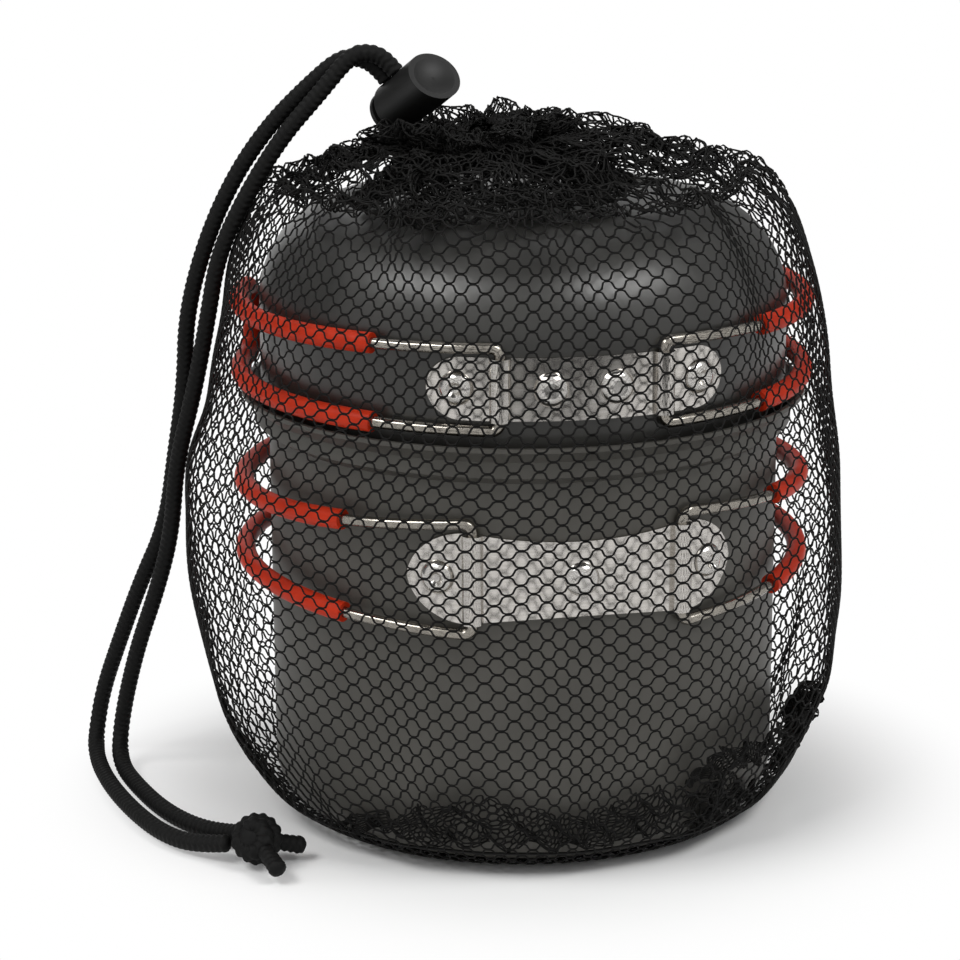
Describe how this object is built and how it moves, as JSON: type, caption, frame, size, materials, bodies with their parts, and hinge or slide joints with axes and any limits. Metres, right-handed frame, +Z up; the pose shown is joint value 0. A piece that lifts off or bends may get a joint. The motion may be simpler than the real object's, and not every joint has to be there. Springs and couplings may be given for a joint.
{
  "type": "nested camping cook set in a net bag",
  "caption": "Nested camping cookware: a pot, a pan turned over as its lid, folding wire handles with sleeves, and a drawstring net bag with a cord lock.",
  "frame": {"origin": "on the pot's axis, in the bag's underside, which is the surface that the set stands on", "axes": "+Z up along the pot's axis, -Y towards the handle brackets, +X to the right seen from the brackets"},
  "size_m": [0.1825, 0.1448, 0.1808],
  "materials": {
    "pot_anodised": "satin hard anodised",
    "pan_anodised": "satin hard anodised",
    "stainless_plate": "polished",
    "stainless_rivet": "polished",
    "stainless_wire": "polished",
    "silicone_sleeve": "satin silicone",
    "net_mesh": "knitted mesh",
    "cord_black": "braided",
    "lock_plastic": "matte moulded",
    "spring_steel": "drawn wire"
  },
  "bodies": {
    "pot": {"pot_body": "pot_anodised", "pot_bracket": "stainless_plate", "pot_rivets": "stainless_rivet"},
    "pan": {"pan_body": "pan_anodised", "pan_bracket": "stainless_plate", "pan_rivets": "stainless_rivet"},
    "pot_handle_left": {"pot_handle_left_wire": "stainless_wire", "pot_handle_left_sleeve": "silicone_sleeve"},
    "pot_handle_right": {"pot_handle_right_wire": "stainless_wire", "pot_handle_right_sleeve": "silicone_sleeve"},
    "pan_handle_left": {"pan_handle_left_wire": "stainless_wire", "pan_handle_left_sleeve": "silicone_sleeve"},
    "pan_handle_right": {"pan_handle_right_wire": "stainless_wire", "pan_handle_right_sleeve": "silicone_sleeve"},
    "bag": {"bag_net": "net_mesh", "bag_base": "net_mesh", "bag_hem": "net_mesh", "drawstring_loop": "cord_black", "cord_lock_barrel": "lock_plastic", "cord_lock_spring": "spring_steel", "cord_tail_outer": "cord_black", "cord_tail_inner": "cord_black", "cord_knot": "cord_black", "cord_ends": "cord_black"},
    "lock_plunger": {"cord_lock_plunger": "lock_plastic"}
  },
  "joints": [
    {"name": "pan_lift", "type": "slide", "parent": "pot", "child": "pan", "axis": [0, 0, 1], "range_m": [0, 0.05], "deforming": ["bag_net", "bag_base"]},
    {"name": "bag_off", "type": "slide", "parent": "pan", "child": "bag", "axis": [0, 0, 1], "range_m": [0, 0.17], "deforming": ["bag_net", "bag_base", "bag_hem"]},
    {"name": "pot_handle_left_fold", "type": "hinge", "parent": "pot", "child": "pot_handle_left", "pos_m": [-0.02369, -0.05664, 0.0702], "axis": [0, 0, 1], "range_deg": [0, 151], "deforming": ["bag_net", "cord_tail_outer", "cord_tail_inner"]},
    {"name": "pot_handle_right_fold", "type": "hinge", "parent": "pot", "child": "pot_handle_right", "pos_m": [0.02369, -0.05664, 0.0702], "axis": [0, 0, 1], "range_deg": [-151, 0], "deforming": ["bag_net"]},
    {"name": "pan_handle_left_fold", "type": "hinge", "parent": "pan", "child": "pan_handle_left", "pos_m": [-0.01824, -0.06041, 0.1136], "axis": [0, 0, 1], "range_deg": [0, 137], "deforming": ["bag_net", "cord_tail_outer", "cord_tail_inner"]},
    {"name": "pan_handle_right_fold", "type": "hinge", "parent": "pan", "child": "pan_handle_right", "pos_m": [0.01824, -0.06041, 0.1136], "axis": [0, 0, 1], "range_deg": [-137, 0], "deforming": ["bag_net"]},
    {"name": "lock_press", "type": "slide", "parent": "bag", "child": "lock_plunger", "axis": [0.3612, -0.7875, 0.4993], "range_m": [0, 0.0022], "stiffness_N_per_m": 600, "springref_m": -0.002, "deforming": ["cord_lock_spring"]}
  ]
}
